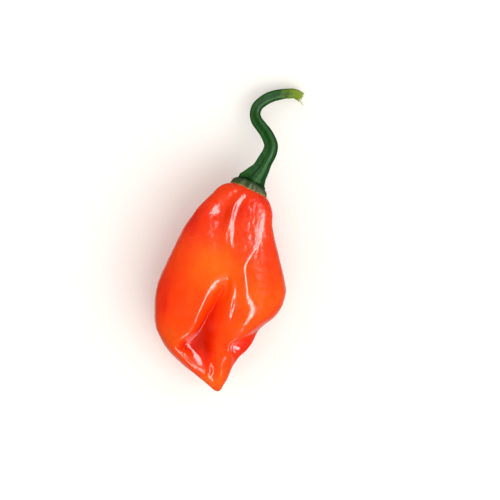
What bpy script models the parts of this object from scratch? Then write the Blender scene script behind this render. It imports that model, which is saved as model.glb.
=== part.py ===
"""An orange habanero chilli pepper, as picked, lying on its side.

Three pieces: the folded pod, the calyx that caps its neck, and the stem with its flared foot.
+Y runs along the pod from the blossom end to the stem, +Z is up, and the origin is the centre
of the small flat spot under the belly that the pod rests on. Run it in Blender 4.5.
"""

import math

import bmesh
import bpy
import numpy as np

MM = 0.001

# How finely the pieces are meshed
POD_RINGS = 150
POD_SEGMENTS = 190
POD_KEPT = 0.135  # share of the pod's triangles kept where its skin is smooth enough to spare them
CROWD_REACH = 1.6 * MM  # the mesh is drawn in from this far on either side of a sharp fold
CROWD_PULL = 0.75  # and this share of the way to it
CALYX_RINGS = 22
CALYX_SEGMENTS = 48
STEM_RINGS = 50
STEM_SEGMENTS = 20

SEAM = 0.3 * MM  # clear gap between neighbouring pieces

# The pod's outline, from the tip to the shoulder: y, left edge, right edge, underside, top
POD_OUTLINE = np.array([
    (-23.5, 2.4, 2.4, 8.6, 8.6),
    (-23.0, 1.1, 3.2, 7.2, 10.6),
    (-22.0, -0.3, 3.6, 6.2, 12.8),
    (-20.4, -2.9, 4.2, 5.0, 15.2),
    (-17.8, -7.1, 4.9, 3.4, 18.0),
    (-15.2, -10.3, 6.1, 2.1, 20.1),
    (-13.1, -11.9, 7.75, 1.3, 21.3),
    (-11.3, -13.0, 8.6, 0.6, 22.1),
    (-9.2, -13.6, 9.2, 0.0, 22.7),
    (-7.2, -13.9, 10.7, -0.3, 23.1),
    (-5.6, -14.1, 12.2, -0.5, 23.3),
    (-4.0, -14.15, 13.2, -0.6, 23.4),
    (-2.0, -14.1, 13.95, -0.7, 23.5),
    (0.3, -13.6, 14.2, -0.7, 23.5),
    (4.0, -12.5, 13.15, -0.6, 23.3),
    (8.0, -11.25, 11.5, 0.0, 22.7),
    (12.0, -9.8, 9.85, 1.3, 21.4),
    (15.0, -8.1, 8.95, 2.7, 20.1),
    (18.0, -5.2, 8.6, 4.1, 18.4),
    (19.4, -4.0, 8.25, 5.0, 17.4),
    (20.3, -2.9, 7.8, 5.8, 16.3),
    (20.9, -1.9, 7.25, 6.7, 15.3),
    (21.35, -0.8, 6.3, 7.7, 14.3),
    (21.65, 0.7, 4.8, 8.8, 13.0),
    (21.8, 2.65, 2.65, 10.7, 10.7),
]) * MM
# How square its cross-section is above: y, the power of its rounding, which is 2 for an oval
SQUARENESS = np.array([
    (-23.5 * MM, 2.0),
    (-18.0 * MM, 2.3),
    (-11.0 * MM, 2.8),
    (-5.0 * MM, 3.0),
    (2.0 * MM, 2.8),
    (8.0 * MM, 3.4),
    (12.0 * MM, 4.0),
    (16.0 * MM, 4.4),
    (19.4 * MM, 3.4),
    (21.8 * MM, 2.0),
])
SQUARENESS_BELOW = 2.15
FOLDS_FADE = (-0.5, 0.3)  # the upper side's folds fade in between these heights, as sin(angle)
NECK_START = 13 * MM  # above this the pod leans right and down, towards the stem
NECK_TURN = math.radians(15)
NECK_DIP = math.radians(12)

# The stem's centre line from its foot to the cut end: x, y, z, radius
STEM_LINE = np.array([
    (2.88, 23.12, 10.41, 2.6),
    (2.95, 23.37, 10.36, 3.2),
    (3.07, 23.7, 10.24, 3.1),
    (3.36, 24.35, 10.1, 2.72),
    (3.82, 25.3, 9.9, 2.36),
    (4.48, 26.5, 9.65, 1.97),
    (5.1, 28.2, 9.25, 1.72),
    (5.85, 30.2, 8.75, 1.6),
    (6.05, 31.9, 8.25, 1.5),
    (5.6, 33.2, 7.8, 1.4),
    (4.7, 34.5, 7.2, 1.33),
    (3.4, 35.9, 6.5, 1.28),
    (2.1, 37.3, 5.8, 1.2),
    (1.5, 38.8, 5.1, 1.15),
    (1.8, 40.5, 4.5, 1.15),
    (2.9, 41.9, 3.95, 1.17),
    (4.5, 43.1, 3.55, 1.17),
    (6.3, 43.9, 3.25, 1.15),
    (8.1, 44.4, 3.05, 1.1),
    (9.8, 44.6, 2.9, 1.04),
    (11.2, 44.0, 2.7, 1.08),
]) * MM
STEM_RIBS = 5
STEM_RIB_DEPTH = 0.08  # as a share of the stem's radius
STEM_RIB_TWIST = 2.0  # how far the ribs wind round the stem along its whole length
STEM_END = 0.35  # the latitude taken up by the disc that closes each end

# The calyx is a collar over the pod's shoulder
CALYX_THICKNESS = 0.65 * MM
CALYX_CROWN = 0.75 * MM  # the height of its flat middle, which the stem's foot stands on
CALYX_CROWN_RADIUS = (3.0 * MM, 4.3 * MM)  # the flat middle falls away to the collar between these
CALYX_REACH = 0.21  # how far it drapes down from the shoulder's middle, as a latitude
CALYX_EDGE = 0.2  # the last part of that way, where its edge is rounded off
# Its low teeth: angle round the neck, how much further they reach, half width in degrees
CALYX_TEETH = [
    (172, 0.06, 44),
    (122, 0.08, 34),
    (84, 0.11, 32),
    (50, 0.10, 30),
    (6, 0.03, 16),
    (-50, 0.11, 34),
    (-112, 0.12, 36),
]


def smooth_rows(where, rows):
    """Each column of rows after the first, as a smooth function of the first, without overshoot."""
    knots, values = rows[:, 0], rows[:, 1:]
    step = np.diff(knots)[:, None]
    slope = np.diff(values, axis=0) / step
    turning = slope[:-1] * slope[1:]
    total = np.where(turning > 0, slope[:-1] + slope[1:], 1)
    tangent = np.vstack([slope[:1], np.where(turning > 0, 2 * turning / total, 0), slope[-1:]])
    where = np.clip(where, knots[0], knots[-1])
    i = np.clip(np.searchsorted(knots, where, side="right") - 1, 0, len(knots) - 2)
    h = step[i]
    t = (where - knots[i])[:, None] / h
    return (
        values[i] * (1 + 2 * t) * (1 - t) ** 2
        + tangent[i] * h * t * (1 - t) ** 2
        + values[i + 1] * t * t * (3 - 2 * t)
        + tangent[i + 1] * h * t * t * (t - 1)
    )


def curve_through(rows, where):
    """A smooth curve through the rows, at places counted in rows from 0."""
    padded = np.vstack([2 * rows[0] - rows[1], rows, 2 * rows[-1] - rows[-2]])
    i = np.clip(np.floor(where).astype(int), 0, len(rows) - 2)
    t = (where - i)[:, None]
    p0, p1, p2, p3 = padded[i], padded[i + 1], padded[i + 2], padded[i + 3]
    square = (2 * p0 - 5 * p1 + 4 * p2 - p3) * t**2
    cube = (3 * p1 - p0 - 3 * p2 + p3) * t**3
    return (2 * p1 + (p2 - p0) * t + square + cube) / 2


def smooth_step(low, high, value):
    """0 below low, 1 above high, and an even blend in between."""
    t = np.clip((value - low) / (high - low), 0, 1)
    return t * t * (3 - 2 * t)


def last_part(share, part):
    """How far share has got through the last part of its way to 1."""
    return np.clip((share - 1 + part) / part, 0, 1)


def bowl(share):
    """The cross-section of a soft hollow: 1 at its bottom, level with the skin at share 1."""
    return np.clip(1 - share * share, 0, 1) ** 2


def scoop(share):
    """The far side of a valley: a flat bottom that climbs to a rounded brow at share 1."""
    return np.clip(1 - share, 0, 1) ** 2 * (1 + 2 * np.clip(share, 0, 1))


def lip(share):
    """The edge of a lobe: it rolls over from level at share 1 to almost upright at share 0."""
    return np.clip(1 - share, 0, 1) ** 3


# The valley between the left lobe and the middle one, seen from above, lies between three brows.
# The left brow is the crest of the left lobe's rolled rim: x, y, width of the wall below it
VALLEY_LEFT = [
    (0.2, 3.6, 2.2),
    (-1.2, 2.2, 2.4),
    (-2.6, -0.8, 2.7),
    (-3.7, -4.7, 2.5),
    (-4.3, -7.6, 2.0),
    (-4.5, -9.0, 1.7),
    (-5.3, -10.9, 1.5),
    (-7.2, -12.8, 1.5),
    (-9.2, -14.2, 1.6),
    (-11.5, -15.6, 1.6),
]
# The brow round the foot of the hollow under the left lobe's corner
VALLEY_LOWER = [
    (-11.5, -13.8, 2.6),
    (-9.0, -15.0, 3.0),
    (-7.3, -16.3, 3.4),
    (-5.6, -17.6, 3.6),
    (-3.9, -19.2, 3.4),
    (-2.2, -20.6, 2.8),
    (-0.4, -21.6, 2.0),
    (1.4, -22.6, 1.4),
    (3.0, -24.0, 1.2),
]
# The brow of the middle lobe, and the left side of the nose
VALLEY_RIGHT = [
    (1.6, 4.6, 1.4),
    (2.4, 1.6, 2.0),
    (2.6, -2.0, 3.0),
    (2.7, -5.6, 4.6),
    (2.4, -9.0, 5.4),
    (1.7, -12.0, 4.6),
    (1.5, -14.2, 3.0),
    (2.2, -16.6, 2.4),
    (2.9, -18.8, 2.0),
    (2.6, -22.8, 1.4),
]
VALLEY_HEAD = 2.5 * MM  # towards the neck from here the valley's wall is soft
VALLEY_WALL = 2.0  # the wall under the left brow steepens from the brow down by this power
# How deep the valley is: y, depth
VALLEY_DEPTH = [
    (-22.6, 0.0),
    (-20.6, 0.8),
    (-18.6, 1.7),
    (-16.0, 2.8),
    (-13.5, 3.9),
    (-11.0, 4.3),
    (-8.0, 3.9),
    (-5.0, 3.1),
    (-2.0, 2.2),
    (0.5, 1.2),
    (2.4, 0.5),
    (4.0, 0.0),
]

# The right lobe's crest, from which its flank falls away to the right: y, x, how far it falls, the
# width of the fall, and how far the crest is rounded off
RIGHT_CREST = np.array([
    (-10.4, 5.9, 0.0, 4.0, 0.5),
    (-8.8, 6.7, 0.5, 5.0, 0.6),
    (-6.6, 7.3, 1.0, 6.0, 2.4),
    (-4.2, 7.1, 1.6, 7.0, 3.6),
    (-1.6, 6.2, 2.3, 8.0, 0.9),
    (1.6, 5.3, 2.4, 8.0, 0.3),
    (4.6, 4.6, 2.0, 8.0, 0.3),
    (7.6, 5.6, 1.3, 7.0, 0.1),
    (10.0, 6.7, 0.7, 6.0, 0.1),
    (12.5, 7.2, 0.3, 6.0, 1.6),
    (15.5, 7.2, 0.0, 6.0, 1.6),
]) * MM

# The right lobe's lower edge, which stands over the back of the tip, and then the right side of
# the nose: x, y, how far the skin below it drops towards the pod's middle height (1 is most of
# the way), width of the roll along the edge
RIGHT_EDGE = [
    (15.2, 1.0, 0.0, 2.0),
    (13.9, -2.2, 0.15, 2.2),
    (12.7, -4.7, 0.45, 2.3),
    (11.0, -6.7, 0.8, 2.2),
    (8.4, -9.6, 1.0, 1.9),
    (5.7, -11.6, 1.0, 1.5),
    (4.4, -12.7, 1.0, 1.1),
    (4.6, -14.0, 0.9, 1.0),
    (5.1, -15.5, 0.6, 1.0),
    (5.3, -16.8, 0.25, 1.0),
    (5.1, -18.4, 0.0, 1.0),
]
BACK_DROP = 0.42  # the share of the pod's half height that the back of the tip lies lower
BACK_CREASE = (0.6 * MM, 2.6 * MM)  # depth and width of the crease along the edge's foot

# Folds in the pod's upper side, seen from above. Each row of a line is x, y, depth, and how far
# the fold spreads to the left and to the right of someone walking the line. Ridges have a
# negative depth.
UPPER_FOLDS = [
    # the left lobe's full corner
    [
        (-5.0, -5.0, 0.0, 3.0, 3.0),
        (-6.0, -9.0, -0.5, 3.6, 3.4),
        (-7.6, -12.4, -1.2, 4.0, 3.4),
        (-8.4, -15.0, -1.3, 3.6, 3.2),
        (-6.6, -17.0, -1.0, 3.0, 2.8),
        (-3.9, -19.2, -0.4, 2.2, 2.2),
        (-1.6, -21.2, 0.0, 1.5, 1.5),
    ],
    # the rim along its edge
    [
        (-1.2, 2.4, 0.0, 1.0, 1.0),
        (-2.9, -1.2, -0.2, 1.2, 1.4),
        (-3.9, -4.9, -0.25, 1.2, 1.5),
        (-4.6, -8.6, -0.25, 1.1, 1.3),
        (-5.8, -11.3, -0.25, 1.1, 1.3),
        (-7.9, -13.2, -0.3, 1.1, 1.2),
        (-8.3, -15.0, -0.4, 1.1, 1.2),
        (-6.6, -16.7, -0.4, 1.1, 1.2),
        (-4.6, -18.4, -0.4, 1.1, 1.2),
        (-2.6, -20.2, -0.2, 1.0, 1.1),
        (-1.2, -21.2, 0.0, 0.8, 0.9),
    ],
    # the little ridge that parts the valley's foot from the hollow in the left lobe's corner
    [
        (-1.6, -14.0, 0.0, 0.8, 0.8),
        (-0.6, -15.6, -0.4, 1.0, 1.0),
        (-0.1, -17.2, -0.6, 1.1, 1.1),
        (0.1, -19.0, -0.5, 1.0, 1.0),
        (-0.3, -20.6, 0.0, 0.8, 0.8),
    ],
    # the nook at the head of the valley
    [
        (1.2, 2.6, 0.0, 0.8, 0.7),
        (1.5, 0.8, 0.5, 1.0, 0.9),
        (1.6, -1.2, 0.6, 1.1, 0.9),
        (1.2, -3.4, 0.0, 1.0, 0.9),
    ],
    # the swelling of the right lobe towards its lower edge
    [
        (8.0, 5.0, 0.0, 4.0, 5.0),
        (9.0, 1.0, -0.4, 4.5, 5.5),
        (10.0, -2.5, -0.9, 5.0, 6.0),
        (9.4, -5.6, -1.7, 5.0, 6.0),
        (7.8, -8.4, -2.1, 4.5, 6.0),
        (5.4, -11.3, -1.8, 3.0, 5.0),
        (4.4, -13.2, -1.2, 2.6, 3.5),
        (3.9, -16.0, -0.7, 2.4, 2.6),
        (3.8, -18.5, -0.5, 2.2, 2.2),
        (3.2, -21.4, 0.0, 1.6, 1.6),
    ],
    # its crest
    [
        (3.2, 7.6, 0.0, 2.4, 1.8),
        (4.0, 4.6, -0.3, 2.4, 2.0),
        (4.9, 1.4, -0.4, 2.4, 2.2),
        (5.8, -1.8, -0.4, 2.6, 2.2),
        (6.6, -4.8, -0.3, 3.0, 2.4),
        (6.8, -7.6, 0.0, 3.0, 2.4),
    ],
    # the rim along its lower edge and down the nose
    [
        (12.6, -4.2, 0.0, 0.8, 1.0),
        (10.5, -6.4, -0.22, 0.8, 1.0),
        (8.0, -9.1, -0.3, 0.8, 1.0),
        (5.5, -11.0, -0.3, 0.8, 1.0),
        (3.9, -12.3, -0.3, 0.8, 1.0),
        (3.7, -13.6, -0.3, 0.8, 0.9),
        (4.2, -15.6, -0.25, 0.8, 0.9),
        (4.1, -18.0, -0.2, 0.8, 0.9),
        (3.3, -21.0, 0.0, 0.8, 0.8),
    ],
    # the middle lobe's brow
    [
        (1.4, 3.2, 0.0, 0.8, 0.8),
        (2.2, 0.6, -0.12, 1.0, 1.0),
        (2.5, -2.8, -0.15, 1.2, 1.2),
        (2.4, -6.5, -0.12, 1.4, 1.4),
        (2.0, -9.4, 0.0, 1.4, 1.4),
    ],
    # furrows down the neck
    [
        (1.1, 20.9, 0.3, 0.9, 1.2),
        (-0.9, 18.4, 0.7, 1.4, 2.4),
        (-2.0, 15.8, 1.3, 1.9, 4.0),
        (-2.3, 13.4, 0.8, 1.9, 3.0),
        (-2.4, 11.0, 0.5, 1.8, 2.4),
        (-2.2, 8.0, 0.3, 1.6, 2.0),
        (-1.6, 5.0, 0.0, 1.5, 1.8),
    ],
    [
        (2.6, 20.4, 0.2, 0.9, 0.9),
        (1.2, 17.0, 0.35, 1.2, 1.1),
        (1.0, 13.8, 0.35, 1.2, 1.1),
        (1.3, 10.4, 0.25, 1.2, 1.1),
        (2.4, 7.0, 0.0, 0.9, 1.0),
    ],
    [
        (4.2, 19.8, 0.0, 1.4, 1.2),
        (4.4, 16.4, 0.15, 2.0, 1.8),
        (4.7, 13.4, 0.15, 2.0, 1.8),
        (5.0, 10.2, 0.1, 1.8, 1.8),
        (5.2, 8.0, 0.0, 1.4, 1.6),
    ],
    # the ridge between the first two
    [
        (1.5, 20.8, -0.15, 0.9, 0.8),
        (-0.05, 18.3, -0.3, 1.0, 0.9),
        (-0.5, 16.2, -0.35, 1.1, 1.0),
        (-0.75, 14.0, -0.35, 1.1, 1.0),
        (-0.95, 11.4, -0.3, 1.1, 1.0),
        (-0.4, 8.2, 0.0, 1.0, 0.9),
    ],
    # the crest of the neck's right corner
    [
        (6.7, 19.6, 0.0, 1.2, 1.6),
        (7.8, 17.0, -0.25, 1.2, 2.0),
        (8.2, 14.0, -0.15, 1.3, 2.2),
        (8.9, 11.0, 0.0, 1.3, 2.2),
    ],
]

# Furrows round the sides and the underside: y, the angle round the pod (0 is the right side and
# 90 the top), depth and half width. They leave the flat spot whole.
SIDE_FURROWS = [
    [
        (-4.0, -14, 0.4, 2.4),
        (3.0, -20, 1.1, 3.0),
        (11.0, -27, 0.9, 2.8),
        (19.0, -32, 0.2, 1.6),
    ],
    [
        (-18.0, 205, 0.3, 2.2),
        (-9.0, 210, 1.1, 3.2),
        (3.0, 212, 1.3, 3.4),
        (13.0, 208, 0.9, 2.8),
        (19.5, 204, 0.2, 1.5),
    ],
    [
        (-20.5, 250, 0.2, 1.5),
        (-13.0, 244, 1.0, 2.6),
        (-3.0, 240, 0.5, 2.6),
        (7.0, 240, 0.7, 2.8),
        (13.0, 242, 0.9, 2.6),
        (19.5, 244, 0.2, 1.4),
    ],
    [
        (-21.0, 322, 0.2, 1.4),
        (-15.0, 312, 1.3, 2.6),
        (-9.0, 306, 0.9, 2.6),
        (1.0, 302, 0.4, 2.4),
        (9.0, 300, 0.9, 2.6),
        (19.0, 300, 0.2, 1.4),
    ],
]
FURROW_FADE = (2.5 * MM, 1.5 * MM)  # how gently they start, towards the tip, and end


def nearest_on_line(points, line):
    """How far points lie to the left of a line, the way leftwards, and the line's values there."""
    best = np.full(len(points), np.inf)
    signed = np.zeros(len(points))
    leftward = np.zeros((len(points), 2))
    values = np.zeros((len(points), line.shape[1] - 2))
    for a, b in zip(line[:-1], line[1:]):
        along = b[:2] - a[:2]
        rel = points - a[:2]
        t = np.clip(rel @ along / (along @ along), 0, 1)
        off = rel - t[:, None] * along
        distance = np.hypot(off[:, 0], off[:, 1])
        near = distance < best
        side = np.where(along[0] * rel[near, 1] - along[1] * rel[near, 0] < 0, -1, 1)
        best[near] = distance[near]
        signed[near] = side * distance[near]
        leftward[near] = side[:, None] * off[near] / np.maximum(distance[near, None], 1e-9)
        values[near] = a[2:] + t[near, None] * (b[2:] - a[2:])
    return signed, leftward, values


def smooth_line(line):
    """A line's rows in metres, with smooth points in between."""
    rows = np.array(line) * MM
    return curve_through(rows, np.linspace(0, len(rows) - 1, 5 * len(rows) - 4))


def valley_drop(points):
    """The depth of the valley between the left lobe and the middle one."""
    left, _, left_wall = nearest_on_line(points, smooth_line(VALLEY_LEFT))
    lower, _, lower_wall = nearest_on_line(points, smooth_line(VALLEY_LOWER))
    right, _, right_wall = nearest_on_line(points, smooth_line(VALLEY_RIGHT))
    depth = smooth_rows(points[:, 1], np.array(VALLEY_DEPTH) * MM)[:, 0]
    left_share = np.clip(left / left_wall[:, 0], 0, 1)
    lower_share = np.clip(lower / lower_wall[:, 0], 0, 1)
    right_share = np.clip(-right / right_wall[:, 0], 0, 1)
    return depth * left_share**VALLEY_WALL * scoop(1 - lower_share) * scoop(1 - right_share)


def flank_drop(points):
    """How far the right lobe's flank falls away from its crest."""
    crest, depth, width, rounding = smooth_rows(points[:, 1], RIGHT_CREST).T
    beyond = points[:, 0] - crest
    return depth * (1 - lip((beyond + np.hypot(beyond, rounding)) / 2 / width))


def right_edge():
    return smooth_line(RIGHT_EDGE) / (1, 1, MM, 1)


def back_lobe(points):
    """How much of each place belongs to the lower back of the tip, and the crease in it."""
    beyond, _, values = nearest_on_line(points, right_edge())
    share, roll = values.T
    depth, width = BACK_CREASE
    back = share * np.where(beyond > 0, 1, lip(np.abs(beyond) / roll))
    return back, depth * share * bowl(beyond / width)


def upper_drop(points):
    """How far the folds lower the pod's upper side at each place seen from above."""
    drop = valley_drop(points) + flank_drop(points)
    for line in UPPER_FOLDS:
        signed, _, values = nearest_on_line(points, smooth_line(line))
        depth, left, right = values.T
        drop += depth * bowl(signed / np.where(signed > 0, left, right))
    return drop


def side_inset(y, angle, radius):
    """How far the side furrows draw the skin in, at each height and angle round the pod."""
    inset = np.zeros(len(y))
    for line in SIDE_FURROWS:
        rows = np.array(line) * (MM, 1, MM, MM)
        centre, depth, width = smooth_rows(y, rows).T
        turn = (np.degrees(angle) - centre + 180) % 360 - 180
        across = np.radians(np.abs(turn)) * radius
        first, last = rows[0, 0], rows[-1, 0]
        start = smooth_step(first - FURROW_FADE[0], first, y)
        end = smooth_step(last + FURROW_FADE[1], last, y)
        inset += depth * bowl(across / width) * start * end
    return inset


def pod_section(latitude, angle):
    """The pod without its upper folds: x, y, height of its middle, and z above that."""
    low, high = POD_OUTLINE[0, 0], POD_OUTLINE[-1, 0]
    y = low + (high - low) * (1 - np.cos(latitude)) / 2
    rows = POD_OUTLINE.copy()
    rows[:, 0] = np.arccos(np.clip(1 - 2 * (rows[:, 0] - low) / (high - low), -1, 1))
    left, right, under, top = smooth_rows(latitude, rows).T
    cos, sin = np.cos(angle), np.sin(angle)
    above = smooth_rows(y, SQUARENESS)[:, 0] - SQUARENESS_BELOW
    power = SQUARENESS_BELOW + above * smooth_step(*FOLDS_FADE, sin)
    rounding = (np.abs(cos) ** power + np.abs(sin) ** power) ** (-1 / power)
    across, up = (right - left) / 2 * cos * rounding, (top - under) / 2 * sin * rounding
    radius = np.maximum(np.hypot(across, up), MM)
    share = 1 - side_inset(y, angle, radius) / radius
    across, up = across * share, up * share
    neck = smooth_step(NECK_START, high, y)
    y = y - neck * (math.tan(NECK_TURN) * across - math.tan(NECK_DIP) * up)
    return (left + right) / 2 + across, y, (top + under) / 2, up


def crowding(points):
    """The way in plan from each point towards the sharp folds near it."""
    brow, across_foot, wall = nearest_on_line(points, smooth_line(VALLEY_LEFT))
    edge, across_edge, share = nearest_on_line(points, right_edge())
    sharp = smooth_step(VALLEY_HEAD, VALLEY_HEAD - 2 * MM, points[:, 1])
    way = np.zeros((len(points), 2))
    for signed, leftward, strength in (
        (brow - wall[:, 0], across_foot, sharp),
        (edge, across_edge, np.minimum(3 * share[:, 0], 1)),
    ):
        near = np.clip(np.abs(signed) / CROWD_REACH, 0, 1)
        way -= (strength * CROWD_PULL * (1 - near) * signed)[:, None] * leftward
    return way


def crowded(latitude, angle):
    """Latitudes and angles moved so that the mesh is finest along the sharp folds."""
    step = 0.001
    for _ in range(2):
        x, y, _, _ = pod_section(latitude, angle)
        north = [(b - a) / step for a, b in zip((x, y), pod_section(latitude + step, angle)[:2])]
        east = [(b - a) / step for a, b in zip((x, y), pod_section(latitude, angle + step)[:2])]
        way = crowding(np.column_stack([x, y])) * smooth_step(0.1, 0.4, np.sin(angle))[:, None] / 2
        area = north[0] * east[1] - north[1] * east[0]
        area = np.where(np.abs(area) < 1e-9, 1e-9, area)
        latitude = latitude + (way[:, 0] * east[1] - way[:, 1] * east[0]) / area
        angle = angle + (north[0] * way[:, 1] - north[1] * way[:, 0]) / area
    return latitude, angle


def pod_skin(latitude, angle):
    """Points of the pod's skin. latitude is 0 at the tip and pi at the shoulder."""
    x, y, height, up = pod_section(latitude, angle)
    plan = np.column_stack([x, y])
    back, crease = back_lobe(plan)
    folds = upper_drop(plan) * (1 - back) + (BACK_DROP * np.maximum(up, 0) + crease) * back
    z = height + up - folds * smooth_step(*FOLDS_FADE, np.sin(angle))
    return np.column_stack([x, y, np.maximum(z, 0)])


def outward(latitude, angle):
    """The direction the pod's skin faces."""
    step = 0.01
    low = np.clip(latitude, 0.03, math.pi - 0.03)
    along = pod_skin(low + step, angle) - pod_skin(low - step, angle)
    around = pod_skin(low, angle + step) - pod_skin(low, angle - step)
    normal = np.cross(along, around)
    return normal / np.linalg.norm(normal, axis=1, keepdims=True)


def calyx_reach(angle):
    """The latitude of the calyx's edge below the shoulder's middle."""
    reach = np.full(len(angle), CALYX_REACH)
    for centre, length, width in CALYX_TEETH:
        turn = (np.degrees(angle) - centre + 180) % 360 - 180
        reach += length * bowl(turn / width)
    return reach


def calyx_shell(latitude, angle):
    """A cap over the shoulder: its outside, round the toothed rim, then its inside."""
    outside = latitude > math.pi / 2
    share = np.where(outside, math.pi - latitude, latitude) / (math.pi / 2)
    at = math.pi - np.maximum(share * calyx_reach(angle), 1e-4)
    skin = pod_skin(at, angle)
    middle = np.array([math.pi]), np.array([0.0])
    below = pod_skin(*middle) - skin
    brim = smooth_step(*CALYX_CROWN_RADIUS, np.linalg.norm(below, axis=1))
    crown = CALYX_CROWN + below @ outward(*middle)[0]
    thickness = crown + (CALYX_THICKNESS - crown) * brim
    edge = CALYX_THICKNESS / 2 * (1 - np.sqrt(1 - last_part(share, CALYX_EDGE) ** 2))
    offset = SEAM + np.where(outside, thickness - edge, edge)
    return skin + offset[:, None] * outward(at, angle)


def sphere_mesh(name, segments, rings, shape):
    """A UV sphere whose points are moved by shape(latitude, angle)."""
    bm = bmesh.new()
    bmesh.ops.create_uvsphere(bm, u_segments=segments, v_segments=rings, radius=1)
    co = np.array([v.co for v in bm.verts])
    moved = shape(np.arccos(np.clip(-co[:, 2], -1, 1)), np.arctan2(co[:, 1], co[:, 0]))
    for vert, place in zip(bm.verts, moved):
        vert.co = place
    if bm.calc_volume(signed=True) < 0:
        bmesh.ops.reverse_faces(bm, faces=bm.faces)
    mesh = bpy.data.meshes.new(name)
    bm.to_mesh(mesh)
    bm.free()
    mesh.shade_smooth()
    return mesh


def stem_skin(latitude, angle):
    """Points of the stem: latitude 0 is the middle of its foot and pi the middle of its cut end."""
    count = len(STEM_LINE) - 1
    where = np.clip((latitude - STEM_END) / (math.pi - 2 * STEM_END), 0, 1) * count
    rows = curve_through(STEM_LINE, where)
    before = curve_through(STEM_LINE, np.maximum(where - 0.02, 0))
    after = curve_through(STEM_LINE, np.minimum(where + 0.02, count))
    along = (after - before)[:, :3]
    along = along / np.linalg.norm(along, axis=1, keepdims=True)
    side = np.cross(along, (0, 0, 1))
    side = side / np.linalg.norm(side, axis=1, keepdims=True)
    above = np.cross(side, along)
    ribs = 1 + STEM_RIB_DEPTH * np.cos(STEM_RIBS * angle + STEM_RIB_TWIST * where / count)
    disc = np.clip(np.minimum(latitude, math.pi - latitude) / STEM_END, 0, 1)
    radius = (rows[:, 3] * ribs * disc)[:, None]
    return rows[:, :3] + radius * (np.cos(angle)[:, None] * side + np.sin(angle)[:, None] * above)


def material(name, colour, roughness):
    made = bpy.data.materials.new(name)
    made.use_nodes = True
    shader = made.node_tree.nodes["Principled BSDF"]
    shader.inputs["Base Color"].default_value = (*colour, 1)
    shader.inputs["Roughness"].default_value = roughness
    shader.inputs["Metallic"].default_value = 0
    return made


def add_object(name, mesh, finish, collection):
    made = bpy.data.objects.new(name, mesh)
    made.data.materials.append(finish)
    collection.objects.link(made)
    return made


def main():
    for obj in list(bpy.data.objects):
        bpy.data.objects.remove(obj)
    collection = bpy.data.collections.new("habanero_pepper")
    bpy.context.scene.collection.children.link(collection)

    skin = material("pod_skin", (0.85, 0.055, 0.002), 0.22)
    leaf = material("calyx", (0.12, 0.16, 0.02), 0.5)
    green = material("stem", (0.01, 0.08, 0.015), 0.4)

    fine = sphere_mesh("pod", POD_SEGMENTS, POD_RINGS, lambda *at: pod_skin(*crowded(*at)))
    pod = add_object("pod", fine, skin, collection)
    spare = pod.modifiers.new("spare", "DECIMATE")
    spare.ratio = POD_KEPT
    collar = sphere_mesh("calyx", CALYX_SEGMENTS, CALYX_RINGS, calyx_shell)
    add_object("calyx", collar, leaf, collection)
    stalk = sphere_mesh("stem", STEM_SEGMENTS, STEM_RINGS, stem_skin)
    add_object("stem", stalk, green, collection)


if __name__ == "__main__":
    main()
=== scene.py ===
"""A ripe orange habanero pepper that lies on its side, seen from above.

The folded pod, the collar of its calyx and the curved stem follow the outlines and folds of the
solids, at a finer grain: wrinkles and pits in the skin, a ribbed collar that hugs the shoulder, a
ridged stem and torn fibres at its cut end. Lengths are in metres, +Z is up and +Y runs from the
pod's tip towards the stem.
"""

import math

import bmesh
import bpy
import numpy as np
from mathutils import Matrix, Vector, noise


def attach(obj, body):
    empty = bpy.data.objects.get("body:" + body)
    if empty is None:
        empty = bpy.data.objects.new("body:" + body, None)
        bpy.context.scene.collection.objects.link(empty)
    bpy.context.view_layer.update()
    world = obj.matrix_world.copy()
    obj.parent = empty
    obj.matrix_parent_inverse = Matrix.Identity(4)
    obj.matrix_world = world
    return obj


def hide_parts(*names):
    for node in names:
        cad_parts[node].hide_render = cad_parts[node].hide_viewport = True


MM = 0.001

SEAM = 0.3 * MM  # the gap between the solids, which the collar closes here

# How finely the pieces are meshed
POD_RINGS = 340
POD_SEGMENTS = 380
CROWD_REACH = 1.6 * MM  # the mesh is drawn in from this far on either side of a sharp fold
CROWD_PULL = 0.6  # and this share of the way to it
CROWD_ROUNDS = 2  # in this many even steps
CROWD_FADE = (0.1, 0.4)  # only above: it starts between these heights, as sin(angle)
CROWD_DROP = 1 / 3  # the right lobe's edge counts as sharp from this share of its drop on
CALYX_RINGS = 60
CALYX_SEGMENTS = 200
STEM_RINGS = 260
STEM_SEGMENTS = 72
LINE_STEPS = 5  # smooth points for each stretch between two rows of a fold
POLE_GAP = 0.03  # the way the skin faces is read at least this far from a pole, as a latitude
LEAST_REACH = 1e-4  # the calyx keeps this latitude from the shoulder's middle
LEAST_RADIUS = 1 * MM  # the side furrows take the pod to be no thinner than this near its ends

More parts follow.
